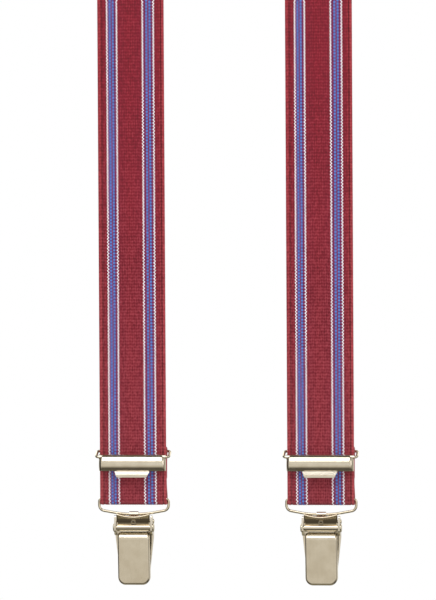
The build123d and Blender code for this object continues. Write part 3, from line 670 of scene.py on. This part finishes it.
def stitches(name, runs, material, pitch=2.6 * MM, radius=0.26 * MM, body="straps"):
    """A row of short rounded stitches along each run of (point, outward) pairs."""
    vertices, faces = [], []
    for run in runs:
        travelled = [0.0]
        for (a, _), (b, _) in zip(run, run[1:]):
            travelled.append(travelled[-1] + (Vector(b) - Vector(a)).length)
        count = max(1, round(travelled[-1] / pitch))
        size = travelled[-1] / count
        for i in range(count):
            begin, outward = along_run(run, travelled, size * (i + STITCH_SPAN[0]))
            end, _ = along_run(run, travelled, size * (i + STITCH_SPAN[1]))
            aside = (end - begin).normalized().cross(outward).normalized()
            first = len(vertices)
            for ring in range(STITCH_RINGS + 1):
                share = ring / STITCH_RINGS
                ending = (2 * share - 1) ** 4
                swell = max(STITCH_TIP, sqrt(max(0.0, 1 - ending)))
                centre = begin.lerp(end, share) - outward * radius * STITCH_DIP * ending
                for k in range(STITCH_SIDES):
                    turn = 2 * pi * k / STITCH_SIDES
                    spoke = aside * cos(turn) + outward * sin(turn) * STITCH_FLATNESS
                    vertices.append(centre + spoke * radius * swell)
            for ring in range(STITCH_RINGS):
                base = first + ring * STITCH_SIDES
                faces += band(base, base + STITCH_SIDES, STITCH_SIDES)
            last = first + STITCH_RINGS * STITCH_SIDES
            faces.append(tuple(range(first, first + STITCH_SIDES))[::-1])
            faces.append(tuple(range(last, last + STITCH_SIDES)))
    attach(make_piece(name, vertices, faces, material), body)


def sewn_box_runs(centre_x, face, depth, low, high, inset=3.0 * MM):
    """Two rows of stitching across the webbing and one up each side."""
    left, right = centre_x - WIDTH / 2 + inset, centre_x + WIDTH / 2 - inset
    corners = [(left, low), (right, low), (right, high), (left, high), (left, low)]
    points = [((x, face * depth, z), (0, face, 0)) for x, z in corners]
    return [list(pair) for pair in zip(points, points[1:])]


# ---------------------------------------------------------------- straps
TAB_BOX_LOW = 12 * MM  # the back tab's sewn box starts this far above the fold's bar
TAB_BOX_MARGIN = 3 * MM  # and stops this far below the cut end
END_BOX = (12.5 * MM, 7 * MM)  # the sewn end's box, below the adjuster's rear bar

for side_name, side, over in (("left", -1, False), ("right", 1, True)):
    main, main_length = strap(f"strap_{side_name}_webbing", side, over)
    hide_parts(f"strap_{side_name}")
    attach(main, "straps")

    free_end, free_length = return_ply(f"{side_name}_return_webbing", side, main_length)
    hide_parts(f"{side_name}_return_run", f"{side_name}_sewn_end")
    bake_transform(free_end)

    end_face = INNER_DEPTH - THICKNESS * 1.5 - SEWN_GAP
    end_low, end_high = (REAR_BAR_Z - below for below in END_BOX)
    stitches(
        f"{side_name}_adjuster_stitching",
        sewn_box_runs(side * FRONT_X, -1, end_face, end_low, end_high),
        RED_THREAD, body=f"{side_name}_adjuster",
    )
    tab_low, tab_high = BACK_BAR_Z + TAB_BOX_LOW, BACK_BAR_Z + SEWN_TAB - TAB_BOX_MARGIN
    back_name = "right" if side < 0 else "left"
    runs = sewn_box_runs(-side * BACK_X, 1, MID_RADIUS + THICKNESS / 2, tab_low, tab_high)
    stitches(f"back_{back_name}_fold_stitching", runs, RED_THREAD)
    runs = sewn_box_runs(-side * BACK_X, 1, INNER_DEPTH - THICKNESS / 2, tab_low, tab_high)
    runs = [[(point, (0, -1, 0)) for point, _ in run] for run in runs]
    stitches(f"back_{back_name}_fold_stitching_inside", runs, RED_THREAD)

# ---------------------------------------------------------------- cross patch
# Points of the patch are in its own plane, x to the right and y up, from its middle.
CORNER_STEPS, SIDE_STEPS = 4, 12  # of half a corner's arc and of a side
# Rings of points at these insets from the edge, in mm, then more of them in to the middle.
FACE_INSETS, FACE_RINGS = (0.0, 0.12, 0.35, 0.7, 1.3, 2.0, 2.5, 2.8, 3.1, 3.5, 4.2, 5.5), 12
BACK_INSETS, BACK_RINGS = (0.0, 0.12, 0.35, 2.0, 6.0), 9
# How far the edge is rounded off at an inset, as a share of the leather's thickness.
FACE_ROUNDING = {0.0: 0.55, 0.12: 0.30, 0.35: 0.13, 0.7: 0.03}
BACK_ROUNDING = {0.0: 0.4, 0.12: 0.12}
SEAM_INSET, SEAM_HALF = 2.8, 0.4  # mm, the line pressed in by the stitching
SEAM_DEPTH, THREAD_DEPTH = 0.22 * MM, 0.12 * MM
SAG = 1.3 * MM  # of the leather where neither strap is under it
SAG_MARGIN, SAG_RAMP = 0.3 * MM, 7 * MM


def patch_outline(inset):
    """The patch's edge, moved in by inset, as points with rounded corners."""
    half = PATCH_HEIGHT / 2
    corners = [Vector(corner) for corner in (
        (-PATCH_END_WIDTH / 2, half), (PATCH_END_WIDTH / 2, half), (PATCH_MID_WIDTH / 2, 0),
        (PATCH_END_WIDTH / 2, -half), (-PATCH_END_WIDTH / 2, -half), (-PATCH_MID_WIDTH / 2, 0),
    )]
    points = []
    for i, here in enumerate(corners):
        far, beyond = corners[(i + 1) % 6], corners[(i + 2) % 6]
        to_before, onward = (corners[i - 1] - here).normalized(), (far - here).normalized()
        half_angle = to_before.angle(onward) / 2
        middle = (to_before + onward).normalized()
        centre = here + middle * PATCH_CORNER / sin(half_angle)
        start = atan2(-middle.y, -middle.x)
        sweep = pi / 2 - half_angle
        for k in range(-CORNER_STEPS, CORNER_STEPS + 1):
            angle = start - sweep * k / CORNER_STEPS
            points.append(centre + Vector((cos(angle), sin(angle))) * (PATCH_CORNER - inset))
        inward = Vector((onward.y, -onward.x))
        next_half = (-onward).angle((beyond - far).normalized()) / 2
        first = here + onward * (PATCH_CORNER / tan(half_angle))
        final = far - onward * (PATCH_CORNER / tan(next_half))
        for k in range(1, SIDE_STEPS):
            points.append(first.lerp(final, k / SIDE_STEPS) + inward * inset)
    return points


def patch_rings(insets, count):
    """Rings of points from the patch's edge almost to its middle, each with its inset."""
    rings = [(patch_outline(inset * MM), inset) for inset in insets]
    inner = rings[-1][0]
    for k in range(1, count):
        rings.append(([point * (1 - k / count) for point in inner], insets[-1]))
    return rings


def covered(point, tilt):
    """1 inside a strap's band at the crossing, falling to 0 a little way outside it."""
    aside = abs(point.x * cos(SLANT) - tilt * point.y * sin(SLANT))
    return 1 - smooth_step((aside - WIDTH / 2 - SAG_MARGIN) / SAG_RAMP)


def bulge(point):
    """A very slow unevenness of the leather's face."""
    return 0.10 * MM * sin(point.x * 190 + 0.5) * cos(point.y * 150)


def patch(name, node, outer):
    """One leather of the cross patch, sagging beside the straps, with a pressed stitch line."""
    low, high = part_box(node)
    under, top, face = (low.y, high.y, 1) if outer else (high.y, low.y, -1)
    vertices, faces = [], []

    def sunk(point):
        """How far the outer leather sinks beside the upper strap, and beside both."""
        if not outer:
            return 0.0
        upper, lower = covered(point, 1), covered(point, -1)
        return LIFT * (1 - upper) + SAG * (1 - max(lower, upper))

    def face_depth(point, inset):
        pressed = SEAM_DEPTH if abs(inset - SEAM_INSET) < SEAM_HALF else 0.0
        rounded = FACE_ROUNDING.get(inset, 0.0) * LEATHER
        return top - face * (sunk(point) + pressed + rounded + bulge(point))

    def back_depth(point, inset):
        return under - face * (sunk(point) - BACK_ROUNDING.get(inset, 0.0) * LEATHER)

    def lay(rings, depth_at):
        """Add the rings' vertices and return where each ring starts."""
        starts = []
        for points, inset in rings:
            starts.append(len(vertices))
            vertices.extend((p.x, depth_at(p, inset), PATCH_Z + p.y) for p in points)
        return starts

    face_starts = lay(patch_rings(FACE_INSETS, FACE_RINGS), face_depth)
    back_starts = lay(patch_rings(BACK_INSETS, BACK_RINGS), back_depth)
    count = face_starts[1]
    for starts, flip in ((face_starts, outer), (back_starts, not outer)):
        for a, b in zip(starts, starts[1:]):
            faces += band(a, b, count, flip)
    faces += band(face_starts[0], back_starts[0], count, not outer)
    for last, flip in ((face_starts[-1], outer), (back_starts[-1], not outer)):
        ring = tuple(range(last, last + count))
        faces.append(ring if flip else ring[::-1])
    made = make_piece(name, vertices, faces, LEATHER_BROWN)
    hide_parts(node)
    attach(made, "straps")

    seam = patch_outline(SEAM_INSET * MM)
    run = [
        ((p.x, top - face * (sunk(p) + THREAD_DEPTH), PATCH_Z + p.y), (0, face, 0))
        for p in seam + seam[:1]
    ]
    stitches(f"{name}_stitching", [run], TAN_THREAD, pitch=2.9 * MM, radius=0.3 * MM)


patch("cross_patch_front_leather", "patch_outer", True)
patch("cross_patch_back_leather", "patch_inner", False)

# ---------------------------------------------------------------- carried-over parts
FINISH = {
    "clip_loop": BRIGHT_NICKEL, "clip_back_plate": NICKEL, "clip_front_jaw": NICKEL,
    "clip_lever_pin": BRIGHT_NICKEL, "clip_jaw_pin": BRIGHT_NICKEL, "clip_lever": SHADED_NICKEL,
    "clip_spring": SPRING_STEEL, "clip_grip_pad": GRIP,
    "adjuster_frame": BRIGHT_NICKEL, "adjuster_cover": NICKEL,
}
SHARP_ANGLE = radians(32)  # edges sharper than this stay sharp
for node_name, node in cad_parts.items():
    for ending, material in FINISH.items():
        if node_name.endswith(ending):
            node.data.materials.clear()
            node.data.materials.append(material)
            node.data.polygons.foreach_set("use_smooth", [True] * len(node.data.polygons))
            node.modifiers.new("soft edges", "EDGE_SPLIT").split_angle = SHARP_ANGLE

# ---------------------------------------------------------------- floor
FLOOR_Z, FLOOR_RADIUS, FLOOR_SIDES = -1.0, 1.3, 96
rim = [2 * pi * i / FLOOR_SIDES for i in range(FLOOR_SIDES)]
rim = [(FLOOR_RADIUS * cos(turn), FLOOR_RADIUS * sin(turn), FLOOR_Z) for turn in rim]
floor = make_piece("floor", rim, [tuple(range(FLOOR_SIDES))], floor_material(), smooth=False)
floor.visible_glossy = False

# ---------------------------------------------------------------- the room round the object
# What the metal mirrors, by the elevation in degrees of the mirrored ray: a bench below, a pale
# room with a dark gap under it, and a dark ceiling.
SURROUNDINGS = (
    (-90, (0.42, 0.39, 0.28)), (-66, (0.40, 0.37, 0.26)), (-56, (0.15, 0.135, 0.11)),
    (-34, (0.10, 0.09, 0.075)), (-25, (0.38, 0.35, 0.29)), (-13, (0.88, 0.83, 0.74)),
    (2, (0.87, 0.83, 0.76)), (22, (0.99, 0.95, 0.89)), (34, (0.60, 0.58, 0.53)),
    (68, (0.34, 0.32, 0.27)), (74, (0.07, 0.06, 0.045)), (90, (0.16, 0.145, 0.09)),
)
# Dark flags at the sides, as (X of the ray where one starts, where it is full, light it lets
# through). The left one gives the metal's rounded edges their dark line; the right one is thin.
FLAGS = ((-0.72, -0.88, 0.1), (0.78, 0.94, 0.5))
ROOM_STRENGTH = 0.8
# Matt surfaces get an even light from all round, so the webbing has only faint shadows on it.
EVEN_LIGHT, EVEN_STRENGTH = (1.0, 0.985, 0.97, 1), 0.62

world = bpy.data.worlds.new("studio")
bpy.context.scene.world = world
room = Nodes(world)


def background(colour, strength):
    made = room.node("ShaderNodeBackground")
    room.put_all((colour, strength), made.inputs)
    return made.outputs[0]


def choose(share, other, chosen):
    made = room.node("ShaderNodeMixShader")
    room.put_all((share, other, chosen), made.inputs)
    return made.outputs[0]


axes = room.node("ShaderNodeSeparateXYZ")
room.put(room.node("ShaderNodeTexCoord").outputs["Generated"], axes.inputs[0])
stops = [((sin(radians(angle)) + 1) / 2, (*colour, 1)) for angle, colour in SURROUNDINGS]
sky = room.ramp(room.remap(axes.outputs[2], -1.0, 1.0, 0.0, 1.0), stops)
let_through = [
    room.remap(axes.outputs[0], first, last, 1.0, light, smooth=True)
    for first, last, light in FLAGS
]
flagged = room.node("ShaderNodeVectorMath", operation="SCALE")
room.put(sky, flagged.inputs[0])
room.put(room.math("MULTIPLY", *let_through), flagged.inputs["Scale"])
ray = room.node("ShaderNodeLightPath").outputs
mirrored = background(flagged.outputs[0], ROOM_STRENGTH)
lit = choose(ray["Is Diffuse Ray"], mirrored, background(EVEN_LIGHT, EVEN_STRENGTH))
seen = choose(ray["Is Camera Ray"], lit, background((1, 1, 1, 1), 1.0))
room.put(seen, room.node("ShaderNodeOutputWorld").inputs[0])


# ---------------------------------------------------------------- lights
def softbox(name, place, aim, size, power, mirrored=True):
    """A rectangular area light at place, facing aim; the metal shows it only if mirrored."""
    lamp = bpy.data.lights.new(name, "AREA")
    lamp.shape = "RECTANGLE"
    lamp.size, lamp.size_y = size
    lamp.energy = power
    lamp.color = (1.0, 0.99, 0.98)
    made = bpy.data.objects.new(name, lamp)
    made.location = place
    made.rotation_euler = (Vector(aim) - Vector(place)).to_track_quat("-Z", "Y").to_euler()
    made.visible_glossy = mirrored
    bpy.context.scene.collection.objects.link(made)


TARGET = (0, 0, -0.66)
softbox("key", (-0.2, -0.94, 0.43), TARGET, size=(1.1, 0.92), power=7.5)
softbox("fill", (1.5, -1.0, -0.2), TARGET, size=(0.6, 1.2), power=2.4)
softbox("low", (0.1, -1.3, -0.95), TARGET, size=(1.0, 0.5), power=3.5, mirrored=False)
softbox("above", (0.0, -0.5, 1.2), (0, 0, -0.4), size=(1.6, 0.6), power=2.0, mirrored=False)
softbox("back_left", (-1.2, 1.4, 0.5), TARGET, size=(0.9, 1.2), power=5.0)
softbox("back_right", (1.2, 1.4, 0.2), TARGET, size=(0.9, 1.2), power=3.5)

# ---------------------------------------------------------------- camera
# It stands a little to the right of the straps' front and just above their lower ends.
CAMERA_AZIMUTH = radians(7.0)
CAMERA_ELEVATION = radians(1.5)
CAMERA_DISTANCE = 3.0
FRAME_HEIGHT = 600  # pixels
METRES_PER_PIXEL = 0.522 * MM  # at the front straps
BOTTOM_MARGIN = 14.1  # pixels below the clips
ASIDE_PIXELS = 7.8  # the straps' middle stands this far right of the picture's
LEAN = radians(0.32)
SENSOR = 24.0  # mm, along the picture's longer side
back = Vector((
    sin(CAMERA_AZIMUTH) * cos(CAMERA_ELEVATION),
    -cos(CAMERA_AZIMUTH) * cos(CAMERA_ELEVATION),
    sin(CAMERA_ELEVATION),
))
right = Vector((cos(CAMERA_AZIMUTH), sin(CAMERA_AZIMUTH), 0))
aim_z = CLIP_BOTTOM + (FRAME_HEIGHT / 2 - BOTTOM_MARGIN) * METRES_PER_PIXEL
aim = Vector((0, -MID_RADIUS, aim_z)) - right * ASIDE_PIXELS * METRES_PER_PIXEL
camera_data = bpy.data.cameras.new("camera")
camera_data.sensor_width = SENSOR
camera_data.lens = SENSOR * CAMERA_DISTANCE / (FRAME_HEIGHT * METRES_PER_PIXEL)
camera = bpy.data.objects.new("camera", camera_data)
camera.location = aim + back * CAMERA_DISTANCE
level = (aim - camera.location).to_track_quat("-Z", "Y").to_matrix()
camera.rotation_euler = (level @ Matrix.Rotation(-LEAN, 3, "Z")).to_euler()
bpy.context.scene.collection.objects.link(camera)
bpy.context.scene.camera = camera
bpy.context.scene.view_settings.view_transform = "Standard"

bpy.context.view_layer.update()
